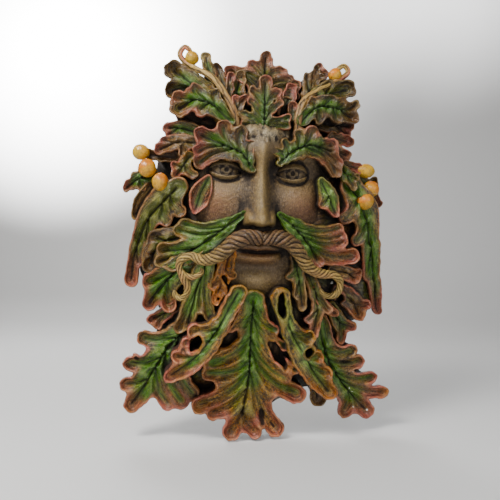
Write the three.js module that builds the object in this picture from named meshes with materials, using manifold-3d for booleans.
import * as THREE from 'three';
import { mergeVertices } from 'three/addons/utils/BufferGeometryUtils.js';
import Module from 'manifold-3d';

// Foliate face wall plaque, cast in one piece. Millimetres, +Z up, the face looks along -Y, the flat back is at y = 0.

// Overall size. The carving is drawn on a grid 400 units high and keeps its proportions.
const HEIGHT = 400;
const GRID_HEIGHT = 400;
const UNIT = HEIGHT / GRID_HEIGHT;

// Walls of the casting, mm
const LEAF_THICKNESS = 7;
const BACK_INSET = 1;
const CORE_EDGE = 9;
const CORE_RISE = 0.85;
const VEIN_SINK = 2.4;

// Keyhole in the flat back, for a screw head, mm
const SCREW_HEAD = 9;
const SCREW_SHANK = 4.5;
const SCREW_CLEARANCE = 1;
const KEYHOLE_LIP = 3;
const KEYHOLE_DEPTH = 8.5;
const KEYHOLE_TRAVEL = 11;
const KEYHOLE_BELOW_TOP = 92;

// Faceting of the outlines and tubes
const OUTLINE_STEP = 3 * UNIT;
const OUTLINE_TOLERANCE = 2.5 * UNIT;
const TUBE_SIDES = 6;
const CORE_SECTORS = 28;

// The layout is drawn as seen from a little to the left of the middle; a point's depth carries it back on to the plaque.
const SIGHT_DISTANCE = 600;
const SIGHT_SWING = THREE.MathUtils.degToRad(-8);
const SIGHT_RISE = THREE.MathUtils.degToRad(4);
const SIGHT_ROLL = THREE.MathUtils.degToRad(3);
const SIGHT_U = -12;
const SIGHT_V = 193;
const AIM = new THREE.Vector3(-8.7, -45, -7);

const back = new THREE.Vector3(
  Math.sin(SIGHT_SWING) * Math.cos(SIGHT_RISE),
  -Math.cos(SIGHT_SWING) * Math.cos(SIGHT_RISE),
  Math.sin(SIGHT_RISE),
);
const level = new THREE.Vector3(Math.cos(SIGHT_SWING), Math.sin(SIGHT_SWING), 0);
const upright = new THREE.Vector3().crossVectors(back, level);
const right = level.clone().multiplyScalar(Math.cos(SIGHT_ROLL)).addScaledVector(upright, Math.sin(SIGHT_ROLL));
const up = upright.clone().multiplyScalar(Math.cos(SIGHT_ROLL)).addScaledVector(level, -Math.sin(SIGHT_ROLL));
const eye = AIM.clone().addScaledVector(back, SIGHT_DISTANCE);

function onPlaque([u, v, depth]) {
  const ray = back.clone().multiplyScalar(-SIGHT_DISTANCE);
  ray.addScaledVector(right, u - SIGHT_U).addScaledVector(up, v - SIGHT_V);
  const reach = (-depth - eye.y) / ray.y;
  return new THREE.Vector3(eye.x + reach * ray.x, eye.z + reach * ray.z, depth).multiplyScalar(UNIT);
}

// Leaves: spine points [u, v, depth, half width], then lobes [place on the spine, tip u, tip v, tip depth, tip radius],
// then holes [u, v, half width, half height, turn in degrees].
const LEAVES = [
  // Beard, outer and lower
  {
    spine: [[-68, 120, 48, 11], [-92, 97, 44, 14], [-108, 73, 36, 17], [-120, 53, 30, 12.5], [-130.5, 38.5, 25, 8]],
    lobes: [[0.16, -117, 105, 33, 8], [0.36, -130.5, 80, 28, 8], [0.6, -135, 59, 25, 7.5],
      [0.3, -81, 42, 33, 9], [0.16, -70, 49, 36, 8], [0.46, -94, 39, 29, 7]],
    holes: [[-127, 77, 2, 2.6, 40]],
  },
  { spine: [[-84, 138, 40, 6], [-100, 128, 34, 6], [-110, 124, 28, 5.5]], lobes: [[0.3, -104, 118, 30, 4]] },
  {
    spine: [[-74, 182, 62, 8], [-98, 160, 48, 13], [-113, 140, 32, 7]],
    lobes: [[0.12, -111, 162, 38, 9], [0.35, -93, 139, 40, 8], [0.2, -104, 150, 40, 8]],
  },
  {
    spine: [[-54, 186, 66, 8], [-66, 150, 63, 9.5], [-74, 120, 55, 6]],
    lobes: [[0.15, -83, 115, 50, 5.5], [0.1, -52, 127, 60, 6], [0.2, -63, 136, 57, 5.5]],
  },
  {
    spine: [[-32, 188, 67, 6], [-39, 166, 67, 7], [-46, 142, 63, 4.5]],
    lobes: [[0.3, -29, 168, 69, 4], [0.45, -50, 158, 62, 4], [0.7, -39, 152, 68, 3.5]],
    holes: [[-37, 164, 2.4, 5, 25], [-43.5, 145, 2, 2.2, 0]],
  },
  {
    spine: [[-8, 142, 66, 11], [-11, 104, 64, 22], [-13, 64, 58, 33], [-20, 26, 50, 15]],
    lobes: [[0.1, -38, 104, 56, 8], [0.3, -50, 80, 52, 9], [0.5, -53, 70, 48, 7], [0.6, -62, 39, 38, 9],
      [0.75, -49, 31, 39, 7.5], [0.9, -31, 12, 43, 9], [0.96, -8, 12, 44, 7.5], [0.05, 12, 113, 60, 5],
      [0.12, 25, 96, 58, 5], [0.42, 34, 50, 44, 9.5], [0.6, 13, 15, 42, 9]],
    holes: [[-31, 104, 5.5, 10, -48], [15, 91, 6.5, 14, 33], [2.5, 20, 3, 9, 10]],
  },
  {
    spine: [[58, 120, 50, 10], [64, 90, 47, 14], [75, 68, 43, 15], [90, 48, 36, 13], [104, 33, 28, 8.5]],
    lobes: [[0.2, 88, 92, 37, 7.5], [0.3, 96, 82, 34, 7], [0.45, 109, 66, 29, 6.5], [0.55, 120, 51, 25, 6.5],
      [0.7, 83, 34, 29, 9]],
    holes: [[90, 75, 7, 1.8, -8]],
  },
  { spine: [[54, 70, 42, 6], [56, 44, 36, 8]], lobes: [] },
  // Ribbon leaves, in front of the beard
  {
    spine: [[-23, 150, 76, 8], [-32, 134, 76, 8.5], [-42, 116, 76, 6.5], [-56, 97, 72, 12], [-73, 79, 66, 10.5], [-91, 67, 58, 7]],
    lobes: [[0.42, -67, 112, 62, 7.5], [0.54, -75, 101, 58, 6], [0.7, -84, 87, 60, 6.5], [0.6, -76, 92, 62, 6]],
    holes: [[-67, 100, 5.5, 9, -28]],
  },
  {
    spine: [[19, 145, 76, 9.5], [27, 117, 76, 7], [40, 92, 72, 12.5], [54, 68, 66, 12], [67, 51, 58, 8]],
    lobes: [[0.3, 46, 107, 62, 6.5], [0.5, 54, 86, 62, 7], [0.62, 63, 70, 60, 7]],
    holes: [[45.5, 92, 5, 5, 0], [17.5, 139, 4.5, 14, 8]],
  },
  // Leaves below the moustache, right
  { spine: [[33, 188, 66, 5], [37, 165, 65, 5.5], [41, 136, 61, 4.5]],
    lobes: [[0.5, 35, 148, 62, 3.5], [0.3, 27, 166, 66, 3.5]] },
  { spine: [[46, 172, 60, 6], [56, 140, 60, 6], [52, 109, 56, 5]],
    lobes: [[0.6, 46, 123, 58, 3.5], [0.3, 66, 134, 54, 4]] },
  { spine: [[70, 134, 48, 7], [79, 120, 42, 7], [90, 116, 36, 5]], lobes: [[0.4, 79, 104, 36, 5]] },
  { spine: [[54, 152, 58, 5], [62, 138, 56, 5], [73, 130, 50, 4.5]], lobes: [] },
  { spine: [[80, 150, 50, 10], [92, 140, 42, 10], [97, 128, 34, 6]], lobes: [[0.5, 104, 139, 32, 5]],
    holes: [[82, 143, 4.5, 5, 0]] },
  // Cheeks
  {
    spine: [[-18, 229, 73, 3], [-36, 216, 72, 6], [-58, 200, 67, 12.5], [-80, 188, 59, 12], [-102, 182, 46, 5.5]],
    lobes: [[0.3, -83, 213, 54, 6], [0.22, -77, 219, 56, 5.5], [0.6, -98, 194, 46, 7], [0.5, -90, 178, 54, 6.5]],
  },
  { spine: [[-78, 205, 50, 11], [-98, 201, 43, 13], [-110, 188, 35, 10]],
    lobes: [[0.4, -106, 205, 38, 8], [0.8, -113, 177, 36, 7]] },
  {
    spine: [[18, 228, 73, 3], [31, 217, 73, 6], [46, 200, 70, 11], [56, 182, 64, 7]],
    lobes: [[0.3, 76, 215, 55, 5], [0.4, 78, 207, 54, 5.5], [0.55, 79, 201, 54, 6], [0.72, 89, 187, 52, 8]],
  },
  { spine: [[72, 172, 56, 6], [84, 170, 52, 7.5], [93, 165, 46, 6]], lobes: [[0.6, 96, 172, 44, 3.5]] },
  // Hanging side leaves
  {
    spine: [[-84, 256, 52, 10], [-99, 241, 46, 15], [-115, 222, 36, 10], [-127, 190, 24, 6], [-131, 163, 17, 7]],
    lobes: [[0.12, -82, 232, 50, 6.5], [0.25, -96, 222, 46, 6], [0.45, -114, 205, 34, 6.5], [0.7, -124, 181, 23, 4.5]],
  },
  { spine: [[-108, 256, 38, 8], [-120, 242, 30, 8], [-125, 229, 24, 6]], lobes: [] },
  {
    spine: [[89, 258, 46, 11], [102, 234, 42, 15], [108, 206, 34, 10.5], [111, 176, 25, 8], [115, 133, 15, 5]],
    lobes: [[0.12, 84, 225, 50, 6.5], [0.35, 96, 203, 40, 7], [0.6, 107, 168, 26, 7], [0.85, 115, 148, 17, 5]],
  },
  // Temples
  { spine: [[-53, 265, 60, 3], [-59, 254, 62, 9], [-63, 244, 61, 9.5], [-67, 231, 58, 2.5]],
    lobes: [] },
  { spine: [[60, 262, 60, 3.5], [66, 250, 61, 8], [70, 240, 60, 8], [74, 229, 56, 3.5]],
    lobes: [[0.4, 61, 238, 60, 4]] },
  // Brows
  {
    spine: [[-10, 274, 67, 3.5], [-20, 290, 68, 6], [-40, 299, 64, 11], [-61, 308, 55, 7]],
    lobes: [[0.45, -38, 316, 61, 7], [0.3, -21, 311, 64, 6], [0.15, -10, 299, 67, 5], [0.6, -62, 292, 55, 7],
      [0.45, -62, 281, 53, 7]],
  },
  {
    spine: [[18, 280, 66, 3.5], [32, 292, 66, 6], [50, 298, 62, 10], [69, 292, 54, 7.5]],
    lobes: [[0.12, 13, 292, 66, 4], [0.2, 24, 301, 65, 4.5], [0.4, 37, 308, 62, 6], [0.5, 50, 311, 60, 6.5],
      [0.75, 69, 298, 53, 6], [0.55, 74, 271, 51, 6.5], [0.7, 75, 280, 50, 5.5]],
  },
  // Hair, left and right
  { spine: [[-68, 312, 48, 7], [-82, 315, 42, 7], [-93, 315, 35, 5.5]], lobes: [[0.5, -92, 308, 35, 3.5]] },
  { spine: [[-66, 300, 50, 6], [-84, 301, 46, 7], [-102, 294, 38, 6]],
    lobes: [[0.3, -79, 291, 45, 4.5], [0.6, -97, 303, 38, 4]] },
  { spine: [[-72, 287, 50, 5], [-79, 277, 50, 6], [-85, 269, 47, 4.5]],
    lobes: [[0.4, -67, 268, 50, 3.5], [0.5, -88, 279, 46, 4]] },
  { spine: [[70, 306, 44, 6], [79, 304, 40, 6], [86, 302, 36, 6]], lobes: [] },
  { spine: [[68, 294, 46, 6], [76, 291, 42, 6], [84, 288, 38, 5]], lobes: [[0.5, 80, 283, 42, 4]] },
  { spine: [[74, 280, 46, 5], [84, 278, 44, 5], [95, 275, 38, 5]], lobes: [] },
  { spine: [[78, 276, 47, 5], [86, 267, 50, 6], [92, 257, 50, 4]], lobes: [[0.4, 94, 266, 44, 3.5]] },
  { spine: [[-88, 286, 38, 5], [-104, 287, 36, 5], [-118, 290, 34, 4]], lobes: [] },
  { spine: [[84, 270, 36, 5], [95, 271, 36, 4.5], [104, 272, 34, 4]], lobes: [] },
  { spine: [[-110, 268, 40, 7], [-124, 264, 34, 7], [-135, 256, 27, 5]], lobes: [[0.4, -120, 256, 32, 5]] },
  { spine: [[100, 262, 36, 7], [110, 250, 32, 7], [115, 240, 26, 5]], lobes: [[0.3, 111, 262, 30, 5]] },
  // Crown, sides
  { spine: [[-36, 328, 48, 10], [-60, 350, 48, 13], [-88, 373, 40, 9]],
    lobes: [[0.5, -89, 353, 38, 8.5], [0.7, -79, 366, 42, 8.5]] },
  {
    spine: [[-32, 322, 60, 5], [-50, 339, 60, 9.5], [-68, 343, 55, 9.5], [-83, 335, 49, 9]],
    lobes: [[0.4, -67, 352, 55, 6.5], [0.25, -46, 349, 58, 5], [0.6, -83, 345, 47, 6.5], [0.35, -61, 334, 56, 6]],
  },
  { spine: [[40, 326, 48, 10], [62, 346, 48, 12], [85, 354, 42, 9]], lobes: [[0.5, 66, 355, 44, 8]] },
  {
    spine: [[40, 322, 58, 5], [56, 336, 58, 9.5], [74, 335, 54, 9.5], [89, 326, 45, 7.5]],
    lobes: [[0.25, 52, 342, 57, 4], [0.4, 68, 343, 55, 6], [0.65, 81, 338, 50, 6], [0.75, 92, 338, 42, 4.5],
      [0.3, 57, 324, 56, 5.5], [0.6, 75, 325, 52, 6]],
  },
  { spine: [[56, 322, 44, 8], [72, 318, 40, 8], [86, 318, 34, 7]], lobes: [[0.5, 82, 309, 32, 5]] },
  // Crown, middle
  {
    spine: [[3, 311, 60, 4], [3, 335, 63, 5], [4, 361, 61, 6.5]],
    lobes: [[0.5, 16, 350, 60, 4], [0.5, -10, 352, 60, 4], [0.2, 18, 340, 60, 3.5], [0.2, -12, 341, 60, 3.5],
      [0.02, 25, 325, 58, 3.5], [0.02, -20, 330, 58, 3.5], [0, -17, 317, 57, 4.5], [0, 24, 317, 57, 4.5]],
  },
  {
    spine: [[3, 338, 44, 9], [3, 362, 44, 10], [4, 386, 40, 6.5]],
    lobes: [[0.5, -10, 379, 42, 4.5], [0.35, -16, 370, 42, 5.5], [0.2, -25, 371, 38, 6], [0.1, -32, 371, 36, 6],
      [0.5, 19, 371, 42, 6], [0.3, 26, 362, 40, 5], [0.15, 33, 357, 38, 6], [0.05, 33, 347, 40, 4]],
  },
  { spine: [[-38, 352, 44, 5], [-40, 364, 42, 4.5], [-45, 377, 37, 4]], lobes: [] },
  { spine: [[-33, 346, 48, 4], [-32, 358, 47, 4], [-31, 368, 44, 3.5]], lobes: [] },
  { spine: [[-24, 328, 56, 3], [-26, 343, 56, 4]], lobes: [[0.3, -16, 345, 52, 3.5]] },
  { spine: [[30, 326, 54, 4], [31, 337, 54, 5]], lobes: [] },
  { spine: [[46, 338, 46, 5], [47, 352, 44, 5], [45, 368, 38, 3.5]],
    lobes: [[0.4, 59, 366, 40, 4], [0.2, 54, 372, 34, 4]] },
  { spine: [[-50, 362, 38, 6], [-56, 386, 33, 4.5]], lobes: [] },
  { spine: [[56, 355, 38, 7], [57, 377, 32, 4]], lobes: [[0.3, 64, 370, 34, 4]] },
  // Leaves behind the crown
  { spine: [[-20, 330, 46, 7], [-25, 350, 45, 8], [-21, 366, 42, 6]], lobes: [[0.5, -33, 352, 43, 5]] },
  { spine: [[22, 322, 48, 7], [26, 340, 46, 8], [29, 354, 42, 6]], lobes: [] },
  { spine: [[-44, 316, 44, 8], [-62, 320, 42, 9], [-78, 327, 38, 7]], lobes: [] },
];

// Core behind the leaves: its outline [u, v] and the depth of its front at stations [u, v, depth].
const CORE_OUTLINE = [
  [3, 372], [40, 362], [66, 345], [70, 322], [72, 306], [80, 290], [88, 268], [102, 248], [107, 222], [106, 200],
  [110, 172], [110, 143], [104, 127], [84, 120], [82, 100], [94, 82], [100, 66], [96, 48], [78, 44], [58, 58], [38, 55], [14, 42],
  [0, 32], [-24, 30], [-44, 44], [-66, 46], [-88, 54], [-108, 56], [-118, 72], [-108, 92], [-88, 112], [-100, 130],
  [-111, 152], [-122, 172], [-122, 192], [-112, 220], [-108, 245], [-106, 266], [-104, 283], [-90, 298], [-76, 312],
  [-60, 328], [-62, 345], [-58, 358], [-38, 364],
];
const CORE_CENTRE = [-6, 205, 0];
const CORE_SPREAD = 17;
const CORE_STATIONS = [
  [3, 355, 34], [-55, 350, 32], [60, 345, 32], [3, 325, 44], [-50, 325, 38], [55, 322, 34],
  [2, 300, 54], [-60, 300, 36], [60, 300, 38], [-85, 300, 24], [82, 295, 24],
  [0, 262, 42], [-55, 258, 42], [58, 258, 42], [-85, 255, 30], [88, 255, 28], [-105, 232, 16], [105, 232, 14],
  [0, 222, 50], [-45, 212, 50], [45, 212, 50], [-75, 205, 38], [76, 205, 36], [-98, 190, 22], [98, 190, 16],
  [0, 182, 54], [-40, 172, 48], [40, 172, 48], [-65, 160, 42], [68, 158, 40], [-92, 150, 24], [92, 145, 22],
  [-5, 142, 56], [-10, 110, 48], [-45, 112, 48], [30, 110, 48], [-75, 112, 32], [60, 115, 34], [-12, 72, 38],
  [-48, 70, 34], [40, 68, 38], [-82, 80, 26], [72, 78, 28], [-104, 75, 16], [96, 72, 16], [-15, 30, 26],
  [-60, 45, 20], [50, 45, 24], [90, 50, 14], [-100, 52, 12],
];

// Moustache, curls, rods and fruit: [u, v, depth, radius] along each
const STRANDS = [
  [[2, 204, 81, 5.5], [-15, 206, 83, 6.8], [-28, 201, 81, 6.8], [-38, 192, 79, 6.2], [-49, 185, 77, 5.8], [-60, 183, 74, 4.8],
    [-71, 187, 70, 4], [-81, 183, 67, 3.6], [-83, 175, 65, 3.4], [-78, 168, 64, 3.2], [-69, 166, 64, 3], [-61, 170, 65, 2.6],
    [-61, 176, 66, 2]],
  [[-82, 175, 64, 3.4], [-79, 166, 64, 4], [-75, 158, 63, 3.6], [-75, 150, 61, 3.4], [-80, 145, 58, 3.2], [-86, 147, 56, 3],
    [-88, 153, 56, 2.2]],
  [[-2, 204, 81, 5.5], [15, 205, 83, 6.8], [27, 201, 81, 6.8], [36, 192, 79, 6.2], [43, 180, 76, 5.8], [52, 172, 73, 5.2],
    [62, 169, 68, 4.5], [72, 168, 65, 4], [78, 161, 62, 3.7], [76, 151, 60, 3.4], [69, 147, 59, 3.2], [61, 149, 60, 2.8],
    [58, 155, 61, 2]],
];
const RODS = [
  [[-28, 308, 52, 4.5], [-26, 320, 54, 4], [-29, 334, 54, 3.6], [-41, 355, 50, 3.4], [-52, 367, 45, 3.4], [-66, 374, 40, 3.3],
    [-77, 381, 37, 3.2], [-82, 389, 36, 3], [-77, 396, 36, 2.8], [-70, 391, 37, 3]],
  [[36, 302, 52, 4.5], [36, 322, 54, 4], [41, 340, 52, 3.6], [53, 351, 47, 3.4], [68, 359, 42, 3.3], [80, 365, 38, 3.2],
    [86, 371, 36, 3], [82, 377, 36, 2.8], [74, 373, 37, 3]],
];
const FRUIT = [
  [-121, 291, 34, 8, 7.4], [-115, 275, 40, 8.5, 8.5], [-102, 261, 46, 7.5, 8.5], [104, 272, 36, 8.5, 7], [109, 254, 34, 8, 8],
  [103, 242, 40, 8.5, 8.5], [-70, 385, 38, 6.5, 6.5], [73, 368, 38, 6.5, 6.5],
];

const wasm = await Module();
wasm.setup();

function solidOf(positions, faces) {
  const geometry = new THREE.BufferGeometry();
  geometry.setAttribute('position', new THREE.Float32BufferAttribute(positions, 3));
  geometry.setIndex(faces);
  const merged = mergeVertices(geometry, 1e-4);
  const p = merged.attributes.position.array;
  const t = merged.index.array;
  let volume = 0;
  for (let i = 0; i < t.length; i += 3) {
    const a = new THREE.Vector3().fromArray(p, 3 * t[i]);
    const b = new THREE.Vector3().fromArray(p, 3 * t[i + 1]);
    const c = new THREE.Vector3().fromArray(p, 3 * t[i + 2]);
    volume += a.dot(b.cross(c));
  }
  const triVerts = Uint32Array.from(t);
  if (volume < 0) triVerts.reverse();
  return new wasm.Manifold(new wasm.Mesh({ numProp: 3, vertProperties: Float32Array.from(p), triVerts }));
}

function curveThrough(points) {
  return new THREE.CatmullRomCurve3(points, false, 'catmullrom', 0.5);
}

function widthAlong(widths, t) {
  const place = t * (widths.length - 1);
  const i = Math.min(Math.floor(place), widths.length - 2);
  return widths[i] + (widths[i + 1] - widths[i]) * (place - i);
}

// Depth of the core's front and its outline
const coreCentre = onPlaque(CORE_CENTRE);
const coreRim = CORE_OUTLINE.map(([u, v]) => onPlaque([u, v, 12]))
  .map((p) => ({ angle: Math.atan2(p.y - coreCentre.y, p.x - coreCentre.x), r: Math.hypot(p.y - coreCentre.y, p.x - coreCentre.x) }))
  .sort((a, b) => a.angle - b.angle);
const stations = CORE_STATIONS.map(onPlaque);

function coreRadius(angle) {
  const i = coreRim.findIndex((p) => p.angle > angle);
  const next = coreRim[i < 0 ? 0 : i];
  const last = coreRim[(i < 0 ? coreRim.length : i === 0 ? coreRim.length : i) - 1];
  const turn = (a) => (a + 4 * Math.PI) % (2 * Math.PI);
  const span = turn(next.angle - last.angle);
  const share = turn(angle - last.angle) / span;
  return last.r + (next.r - last.r) * share;
}

function insideCore(x, z) {
  return coreRadius(Math.atan2(z - coreCentre.y, x - coreCentre.x)) - Math.hypot(x - coreCentre.x, z - coreCentre.y);
}

function coreDepth(x, z) {
  let sum = 0;
  let weight = 1e-12;
  const spread = CORE_SPREAD * UNIT;
  for (const s of stations) {
    const w = Math.exp(-((s.x - x) ** 2 + (s.y - z) ** 2) / (2 * spread * spread));
    sum += w * s.z;
    weight += w;
  }
  return Math.min(sum / weight, CORE_EDGE + CORE_RISE * Math.max(0, insideCore(x, z)));
}

function coreSolid() {
  const rings = [1, 0.86, 0.68, 0.46, 0.24];
  const positions = [];
  const faces = [];
  const n = CORE_SECTORS;
  for (let j = 0; j < n; j += 1) {
    const a = (2 * Math.PI * j) / n;
    const r = coreRadius(a > Math.PI ? a - 2 * Math.PI : a);
    positions.push(coreCentre.x + r * Math.cos(a), 0, coreCentre.y + r * Math.sin(a));
  }
  for (const k of rings) {
    for (let j = 0; j < n; j += 1) {
      const a = (2 * Math.PI * j) / n;
      const r = k * coreRadius(a > Math.PI ? a - 2 * Math.PI : a);
      const x = coreCentre.x + r * Math.cos(a);
      const z = coreCentre.y + r * Math.sin(a);
      positions.push(x, -coreDepth(x, z), z);
    }
  }
  const rows = rings.length;
  for (let i = 0; i < rows; i += 1) {
    for (let j = 0; j < n; j += 1) {
      const a = i * n + j;
      const b = i * n + ((j + 1) % n);
      faces.push(a, b, a + n, b, b + n, a + n);
    }
  }
  const front = positions.length / 3;
  positions.push(coreCentre.x, -coreDepth(coreCentre.x, coreCentre.y), coreCentre.y);
  positions.push(coreCentre.x, 0, coreCentre.y);
  for (let j = 0; j < n; j += 1) {
    const k = (j + 1) % n;
    faces.push(rows * n + j, rows * n + k, front);
    faces.push(k, j, front + 1);
  }
  return solidOf(positions, faces);
}

// A lobe's half width from its root to its tip, as shares of its tip's radius
const LOBE_TAPER = [1.3, 1.25, 1.15, 1.05, 1];

// Veins of a leaf: the spine and one curve to each lobe, with the leaf's half width along them
function veinsOf(leaf) {
  const spine = curveThrough(leaf.spine.map(onPlaque));
  const widths = leaf.spine.map((p) => p[3] * UNIT);
  const veins = [{ points: [], widths: [] }];
  const steps = 24;
  for (let i = 0; i <= steps; i += 1) {
    veins[0].points.push(spine.getPoint(i / steps));
    veins[0].widths.push(widthAlong(widths, i / steps));
  }
  for (const [t, u, v, depth, radius] of leaf.lobes) {
    const root = spine.getPoint(t);
    const tip = onPlaque([u, v, depth]);
    const reach = root.distanceTo(tip);
    const along = spine.getTangent(t);
    const bend = root.clone().lerp(tip, 0.3).addScaledVector(along, 0.3 * reach);
    const curve = new THREE.QuadraticBezierCurve3(root, bend, tip);
    const vein = { points: [], widths: [] };
    for (let i = 0; i <= 12; i += 1) {
      vein.points.push(curve.getPoint(i / 12));
      vein.widths.push(radius * UNIT * widthAlong(LOBE_TAPER, i / 12));
    }
    veins.push(vein);
  }
  return veins;
}

function distanceToVein(vein, x, z) {
  let best = Infinity;
  for (let i = 0; i + 1 < vein.points.length; i += 1) {
    const a = vein.points[i];
    const b = vein.points[i + 1];
    const dx = b.x - a.x;
    const dz = b.y - a.y;
    const t = THREE.MathUtils.clamp(((x - a.x) * dx + (z - a.y) * dz) / Math.max(dx * dx + dz * dz, 1e-9), 0, 1);
    const width = vein.widths[i] + (vein.widths[i + 1] - vein.widths[i]) * t;
    best = Math.min(best, Math.hypot(x - a.x - t * dx, z - a.y - t * dz) - width);
  }
  return best;
}

const WEB = 4 * UNIT;

function outsideLeaf(leaf, x, z) {
  let value = Infinity;
  for (const vein of leaf.veins) {
    const d = distanceToVein(vein, x, z);
    if (value === Infinity) {
      value = d;
    } else {
      const h = THREE.MathUtils.clamp(0.5 + (0.5 * (value - d)) / WEB, 0, 1);
      value = value * (1 - h) + d * h - WEB * h * (1 - h);
    }
  }
  for (const [u, v, a, b, turn] of leaf.holes ?? []) {
    const c = onPlaque([u, v, 60]);
    const angle = THREE.MathUtils.degToRad(turn);
    const dx = (x - c.x) * Math.cos(angle) + (z - c.y) * Math.sin(angle);
    const dz = -(x - c.x) * Math.sin(angle) + (z - c.y) * Math.cos(angle);
    const inside = (Math.hypot(dx / (a * UNIT), dz / (b * UNIT)) - 1) * Math.min(a, b) * UNIT;
    value = Math.max(value, -inside);
  }
  return value;
}

// Outline of a leaf where its field crosses zero, as closed loops with few points
function outlineLoops(leaf) {
  const all = leaf.veins.flatMap((vein) => vein.points);
  const margin = 40 * UNIT;
  const x0 = Math.min(...all.map((p) => p.x)) - margin;
  const z0 = Math.min(...all.map((p) => p.y)) - margin;
  const nx = Math.ceil((Math.max(...all.map((p) => p.x)) + margin - x0) / OUTLINE_STEP);
  const nz = Math.ceil((Math.max(...all.map((p) => p.y)) + margin - z0) / OUTLINE_STEP);
  const value = [];
  for (let j = 0; j <= nz; j += 1) {
    for (let i = 0; i <= nx; i += 1) value.push(outsideLeaf(leaf, x0 + i * OUTLINE_STEP, z0 + j * OUTLINE_STEP) + 1e-6);
  }
  const at = (i, j) => value[j * (nx + 1) + i];
  const points = new Map();
  const next = new Map();
  const crossing = (i, j, k, l) => {
    const key = i <= k && j <= l ? `${i},${j},${k},${l}` : `${k},${l},${i},${j}`;
    const t = at(i, j) / (at(i, j) - at(k, l));
    if (!points.has(key)) {
      points.set(key, new THREE.Vector2(x0 + (i + t * (k - i)) * OUTLINE_STEP, z0 + (j + t * (l - j)) * OUTLINE_STEP));
    }
    return key;
  };
  for (let j = 0; j < nz; j += 1) {
    for (let i = 0; i < nx; i += 1) {
      const corners = [[i, j], [i + 1, j], [i + 1, j + 1], [i, j + 1]];
      const starts = [];
      const ends = [];
      for (let k = 0; k < 4; k += 1) {
        const a = corners[k];
        const b = corners[(k + 1) % 4];
        if (at(...a) < 0 && at(...b) >= 0) ends.push(crossing(...a, ...b));
        if (at(...a) >= 0 && at(...b) < 0) starts.push(crossing(...a, ...b));
      }
      ends.forEach((end, k) => next.set(end, starts[starts.length > 1 ? (k + 1) % 2 : 0]));
    }
  }
  const loops = [];
  while (next.size) {
    const loop = [];
    let key = next.keys().next().value;
    while (next.has(key)) {
      loop.push(points.get(key));
      const after = next.get(key);
      next.delete(key);
      key = after;
    }
    const slim = simplified(loop);
    if (Math.abs(THREE.ShapeUtils.area(slim)) > 8 * UNIT * UNIT) loops.push(slim);
  }
  return loops.sort((a, b) => Math.abs(THREE.ShapeUtils.area(b)) - Math.abs(THREE.ShapeUtils.area(a)));
}

function simplified(loop) {
  const far = loop.reduce((best, p, i) => (p.distanceTo(loop[0]) > loop[best].distanceTo(loop[0]) ? i : best), 0);
  const keep = new Set([0, far]);
  const split = (i, j) => {
    let worst = OUTLINE_TOLERANCE;
    let place = -1;
    const a = loop[i];
    const b = loop[j % loop.length];
    const line = b.clone().sub(a);
    for (let k = i + 1; k < j; k += 1) {
      const p = loop[k].clone().sub(a);
      const d = Math.abs(p.cross(line)) / Math.max(line.length(), 1e-9);
      if (d > worst) {
        worst = d;
        place = k;
      }
    }
    if (place < 0) return;
    keep.add(place);
    split(i, place);
    split(place, j);
  };
  split(0, far);
  split(far, loop.length);
  return [...keep].sort((a, b) => a - b).map((i) => loop[i]);
}

// Turns the shared edges of a flat triangulation until no triangle is a needless sliver
function evened(triangles, points) {
  const turn = (a, b, c) => {
    const [p, q, r] = [points[a], points[b], points[c]];
    return (q.x - p.x) * (r.y - p.y) - (q.y - p.y) * (r.x - p.x);
  };
  const angleAt = (a, b, c) => {
    const p = points[b].clone().sub(points[a]);
    const q = points[c].clone().sub(points[a]);
    return Math.abs(Math.atan2(p.cross(q), p.dot(q)));
  };
  const faces = triangles.map(([a, b, c]) => (turn(a, b, c) < 0 ? [a, c, b] : [a, b, c]));
  for (let pass = 0; pass < 30; pass += 1) {
    const sides = new Map();
    faces.forEach((f, i) => f.forEach((a, k) => sides.set(`${a},${f[(k + 1) % 3]}`, [i, f[(k + 2) % 3]])));
    const touched = new Set();
    for (const [key, [i, c]] of sides) {
      const [a, b] = key.split(',').map(Number);
      const other = sides.get(`${b},${a}`);
      if (other === undefined || a > b) continue;
      const [j, d] = other;
      if (touched.has(i) || touched.has(j)) continue;
      if (turn(c, d, b) <= 1e-6 || turn(d, c, a) <= 1e-6) continue;
      if (angleAt(c, a, b) + angleAt(d, a, b) <= Math.PI + 1e-6) continue;
      faces[i] = [c, d, b];
      faces[j] = [d, c, a];
      touched.add(i).add(j);
    }
    if (touched.size === 0) break;
  }
  return faces;
}

function leafDepth(leaf, x, z) {
  let sum = 0;
  let weight = 0;
  for (const vein of leaf.veins) {
    for (const p of vein.points) {
      const w = 1 / ((p.x - x) ** 2 + (p.y - z) ** 2 + 4 * UNIT * UNIT) ** 1.5;
      sum += w * p.z;
      weight += w;
    }
  }
  return sum / weight;
}

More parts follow.
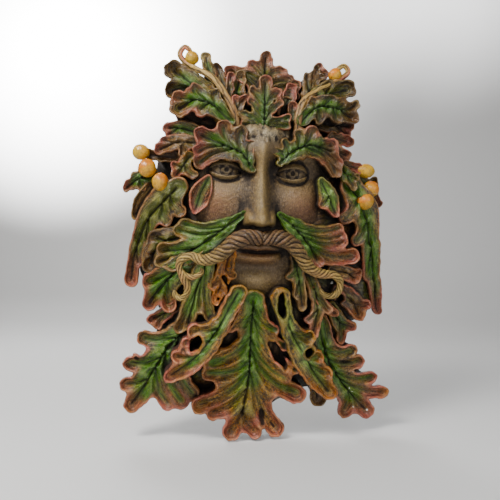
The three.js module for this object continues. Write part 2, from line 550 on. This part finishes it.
function leafSolid(source) {
  const leaf = { ...source, veins: veinsOf(source) };
  const [contour, ...holes] = outlineLoops(leaf);
  const ring = [contour, ...holes];
  const inner = [];
  for (const vein of leaf.veins) {
    for (let i = 2; i < vein.points.length; i += 4) {
      const p = vein.points[i];
      const clear = inner.every((q) => q.distanceTo(new THREE.Vector2(p.x, p.y)) > 8.5 * UNIT);
      if (clear && outsideLeaf(leaf, p.x, p.y) < -2.4 * UNIT) inner.push(new THREE.Vector2(p.x, p.y));
    }
  }
  const rim = ring.flat();
  const outline = rim.length;
  const points = [...rim, ...inner];
  const under = points.length;
  const tops = points.map((p, i) => leafDepth(leaf, p.x, p.y) - (i < outline ? 0 : VEIN_SINK));
  const bottoms = points.map((p, i) => {
    const rooted = insideCore(p.x, p.y) > CORE_EDGE / 2;
    return rooted ? BACK_INSET : Math.max(BACK_INSET, tops[i] - LEAF_THICKNESS);
  });
  const positions = [];
  points.forEach((p, i) => positions.push(p.x, -tops[i], p.y));
  points.forEach((p, i) => positions.push(p.x, -bottoms[i], p.y));
  const faces = [];
  const flat = THREE.ShapeUtils.triangulateShape(contour, [...holes, ...inner.map((p) => [p])]);
  for (const [a, b, c] of evened(flat, points)) faces.push(a, b, c, under + a, under + c, under + b);
  let start = 0;
  for (const loop of ring) {
    for (let i = 0; i < loop.length; i += 1) {
      const a = start + i;
      const b = start + ((i + 1) % loop.length);
      faces.push(b, a, under + a, b, under + a, under + b);
    }
    start += loop.length;
  }
  return solidOf(positions, faces);
}

// Round strand along a curve, closed at both ends
function strandSolid(rows, steps) {
  const curve = curveThrough(rows.map(onPlaque));
  const radii = rows.map((p) => p[3] * UNIT);
  const positions = [];
  const faces = [];
  const outward = new THREE.Vector3(0, 0, 1);
  const push = (p) => positions.push(p.x, -p.z, p.y);
  for (let i = 0; i <= steps; i += 1) {
    const t = i / steps;
    const centre = curve.getPoint(t);
    const tangent = curve.getTangent(t);
    const side = new THREE.Vector3().crossVectors(tangent, outward).normalize();
    const top = new THREE.Vector3().crossVectors(side, tangent).normalize();
    const r = widthAlong(radii, t);
    for (let k = 0; k < TUBE_SIDES; k += 1) {
      const a = (2 * Math.PI * k) / TUBE_SIDES;
      push(centre.clone().addScaledVector(side, r * Math.cos(a)).addScaledVector(top, r * Math.sin(a)));
    }
  }
  for (let i = 0; i < steps; i += 1) {
    for (let k = 0; k < TUBE_SIDES; k += 1) {
      const a = i * TUBE_SIDES + k;
      const b = i * TUBE_SIDES + ((k + 1) % TUBE_SIDES);
      faces.push(a, b, a + TUBE_SIDES, b, b + TUBE_SIDES, a + TUBE_SIDES);
    }
  }
  const first = positions.length / 3;
  push(curve.getPoint(0).addScaledVector(curve.getTangent(0), -0.6 * radii[0]));
  push(curve.getPoint(1).addScaledVector(curve.getTangent(1), 0.6 * radii.at(-1)));
  for (let k = 0; k < TUBE_SIDES; k += 1) {
    const l = (k + 1) % TUBE_SIDES;
    faces.push(l, k, first);
    faces.push(steps * TUBE_SIDES + k, steps * TUBE_SIDES + l, first + 1);
  }
  return solidOf(positions, faces);
}

function fruitSolid([u, v, depth, halfWidth, halfHeight]) {
  const ball = new THREE.IcosahedronGeometry(1, 1);
  ball.deleteAttribute('normal');
  ball.deleteAttribute('uv');
  const merged = mergeVertices(ball, 1e-4);
  const c = onPlaque([u, v, depth]);
  const positions = [];
  const p = merged.attributes.position;
  for (let i = 0; i < p.count; i += 1) {
    positions.push(c.x + p.getX(i) * halfWidth * UNIT, -c.z + p.getY(i) * halfHeight * UNIT, c.y + p.getZ(i) * halfHeight * UNIT);
  }
  return solidOf(positions, Array.from(merged.index.array));
}

// Face: a calm, even face of the usual proportions, as depths over its own axes.
// Heights above the chin follow from the length of the head: eyes at half of it.
const HEAD = 248 * UNIT;
const CHIN = onPlaque([-6, 141, 76]);
const EYE_LINE = HEAD / 2;
const NOSE_BASE = 0.288 * HEAD;
const MOUTH_LINE = 0.192 * HEAD;
const BROW_LINE = 0.58 * HEAD;
const EYE_APART = 33 * UNIT;
const EYE_HALF = 16.5 * UNIT;
const BALL = 16 * UNIT;

const bell = (d, s) => Math.exp(-(d * d) / (2 * s * s));
const smooth = (from, to, x) => {
  const t = THREE.MathUtils.clamp((x - from) / (to - from), 0, 1);
  return t * t * (3 - 2 * t);
};

function faceDepth(x, b) {
  const a = Math.abs(x);
  const s = UNIT;
  const across = Math.max(0, 1 - (a / (77 * s)) ** 2.5);
  const upward = Math.max(0, 1 - Math.abs((b - 0.46 * HEAD) / (0.62 * HEAD)) ** 3);
  let d = 18 * s + 45 * s * across ** 0.6 * upward ** 0.5;
  d -= 11 * s * bell(a - EYE_APART, 15 * s) * bell(b - EYE_LINE - 3 * s, 10 * s);
  d -= 5 * s * bell(a - 14 * s, 6 * s) * bell(b - EYE_LINE - 2 * s, 9 * s);
  d += 3 * s * bell(b - BROW_LINE, 7 * s) * smooth(75 * s, 50 * s, a);
  d += 4 * s * bell(a, 9 * s) * bell(b - BROW_LINE - 6 * s, 16 * s);
  d += 5 * s * bell(a - 42 * s, 14 * s) * bell(b - 0.4 * HEAD, 12 * s);
  d -= 10 * s * smooth(8 * s, 32 * s, a) * smooth(BROW_LINE - 2 * s, BROW_LINE + 16 * s, b);
  d -= 9 * s * smooth(0.64 * HEAD, 0.69 * HEAD, b);
  const ball = BALL * BALL - (a - EYE_APART) ** 2 - (b - EYE_LINE) ** 2;
  if (ball > 0) {
    const front = 43.5 * s + Math.sqrt(ball);
    const share = THREE.MathUtils.clamp(1 - ((a - EYE_APART) / EYE_HALF) ** 2, 0, 1);
    const upper = EYE_LINE + 7.5 * s * share ** 0.8;
    const lower = EYE_LINE - 5 * s * share ** 0.8;
    const open = b < upper && b > lower && share > 0;
    d = Math.max(d, front + (open ? -3.2 * s : 3.2 * s));
  }
  const down = THREE.MathUtils.clamp((BROW_LINE - b) / (BROW_LINE - NOSE_BASE - 5 * s), 0, 1);
  const below = smooth(NOSE_BASE - 3 * s, NOSE_BASE + 4 * s, b);
  const ridge = (6 + 21 * down ** 1.3) * s * below * smooth(BROW_LINE + 22 * s, BROW_LINE - 6 * s, b);
  d += ridge * bell(a, (5.5 + 3 * down) * s);
  d += 9 * s * bell(a - 11 * s, 4.6 * s) * bell(b - NOSE_BASE - 6 * s, 5.5 * s);
  d += 6 * s * bell(a, 24 * s) * bell(b - MOUTH_LINE, 18 * s);
  const lips = Math.max(0, 1 - (a / (25 * s)) ** 2);
  const bow = 1.5 * s * bell(a - 7 * s, 5 * s) - 1.2 * s * bell(a, 4 * s);
  d += 4.5 * s * lips ** 0.6 * bell(b - MOUTH_LINE - 5 * s - bow, 3.2 * s);
  d += 6 * s * lips ** 0.7 * bell(b - MOUTH_LINE + 5.5 * s, 3.6 * s);
  d -= 4 * s * lips ** 0.5 * bell(b - MOUTH_LINE, 1.6 * s);
  d += 9 * s * bell(a, 15 * s) * bell(b - 0.055 * HEAD, 10 * s);
  d -= 2.5 * s * bell(a, 14 * s) * bell(b - 0.12 * HEAD, 4 * s);
  return d;
}

function faceSolid() {
  const xs = [0, 3.5, 7.5, 12, 16.5, 20, 26, 33, 40, 46, 50, 60, 74].map((x) => x * UNIT);
  const columns = [...xs.slice(1).reverse().map((x) => -x), ...xs];
  const rows = [-5, 5, 14, 23, 30, 36, 42, 46.5, 50, 57, 66, 70, 75, 84, 94, 103, 109, 114, 118, 121, 127, 130, 133,
    138, 145, 158, 171].map((b) => b * UNIT);
  const top = [];
  for (const b of rows) for (const x of columns) top.push([CHIN.x + x, -faceDepth(x, b), CHIN.y + b]);
  const nx = columns.length;
  const nz = rows.length;
  const floor = -8 * UNIT;
  const positions = [...top.flat(), ...top.flatMap(([x, , z]) => [x, floor, z])];
  const faces = [];
  const under = nx * nz;
  for (let j = 0; j + 1 < nz; j += 1) {
    for (let i = 0; i + 1 < nx; i += 1) {
      const a = j * nx + i;
      faces.push(a, a + 1, a + nx, a + 1, a + nx + 1, a + nx);
    }
  }
  const rim = [];
  for (let i = 0; i < nx; i += 1) rim.push(i);
  for (let j = 1; j < nz; j += 1) rim.push(j * nx + nx - 1);
  for (let i = nx - 2; i >= 0; i -= 1) rim.push((nz - 1) * nx + i);
  for (let j = nz - 2; j > 0; j -= 1) rim.push(j * nx);
  rim.forEach((a, i) => {
    const b = rim[(i + 1) % rim.length];
    faces.push(b, a, under + a, b, under + a, under + b);
  });
  const flat = rim.map((i) => new THREE.Vector2(top[i][0], top[i][2]));
  for (const [a, b, c] of THREE.ShapeUtils.triangulateShape(flat, [])) faces.push(under + rim[a], under + rim[c], under + rim[b]);
  const used = [...new Set(faces)].sort((a, b) => a - b);
  const place = new Map(used.map((v, i) => [v, i]));
  return solidOf(used.flatMap((v) => positions.slice(3 * v, 3 * v + 3)), faces.map((v) => place.get(v)));
}

// Keyhole: a round way in, a narrow slot above it and a wider hollow behind the lip
function keyholeSolid() {
  const head = SCREW_HEAD / 2 + SCREW_CLEARANCE;
  const shank = SCREW_SHANK / 2 + SCREW_CLEARANCE / 2;
  const z = HEIGHT / 2 - KEYHOLE_BELOW_TOP;
  const box = (x, y0, y1, z0, z1) => {
    const g = new THREE.BoxGeometry(2 * x, y1 - y0, z1 - z0);
    g.translate(0, (y0 + y1) / 2, (z0 + z1) / 2);
    return g;
  };
  const drum = (r, y0, y1, at) => {
    const g = new THREE.CylinderGeometry(r, r, y1 - y0, 16);
    g.translate(0, (y0 + y1) / 2, at);
    return g;
  };
  const parts = [
    drum(head, -KEYHOLE_DEPTH, 1, z),
    drum(head, -KEYHOLE_DEPTH, -KEYHOLE_LIP, z + KEYHOLE_TRAVEL),
    box(head, -KEYHOLE_DEPTH, -KEYHOLE_LIP, z, z + KEYHOLE_TRAVEL),
    drum(shank, -KEYHOLE_LIP - 0.5, 1, z + KEYHOLE_TRAVEL),
    box(shank, -KEYHOLE_LIP - 0.5, 1, z, z + KEYHOLE_TRAVEL),
  ];
  return parts.map((g) => {
    g.deleteAttribute('normal');
    g.deleteAttribute('uv');
    const merged = mergeVertices(g, 1e-4);
    return solidOf(Array.from(merged.attributes.position.array), Array.from(merged.index.array));
  }).reduce((a, b) => a.add(b));
}

const pieces = [
  coreSolid(),
  faceSolid(),
  ...LEAVES.map(leafSolid),
  ...STRANDS.map((rows) => strandSolid(rows, 2 * (rows.length - 1))),
  ...RODS.map((rows) => strandSolid(rows, Math.round(1.5 * (rows.length - 1)))),
  ...FRUIT.map(fruitSolid),
];
const plaque = pieces.reduce((a, b) => a.add(b)).subtract(keyholeSolid());

const mesh = plaque.getMesh();
const geometry = new THREE.BufferGeometry();
geometry.setAttribute('position', new THREE.Float32BufferAttribute(mesh.vertProperties, 3));
geometry.setIndex(Array.from(mesh.triVerts));
geometry.computeVertexNormals();

const paint = new THREE.MeshStandardMaterial({ color: 0x7d7a4a, roughness: 0.55, metalness: 0 });
paint.name = 'painted_resin';
const green = new THREE.Mesh(geometry, paint);
green.name = 'green_man_plaque';

const group = new THREE.Group();
group.name = 'green_man_mask';
group.add(green);
export default group;
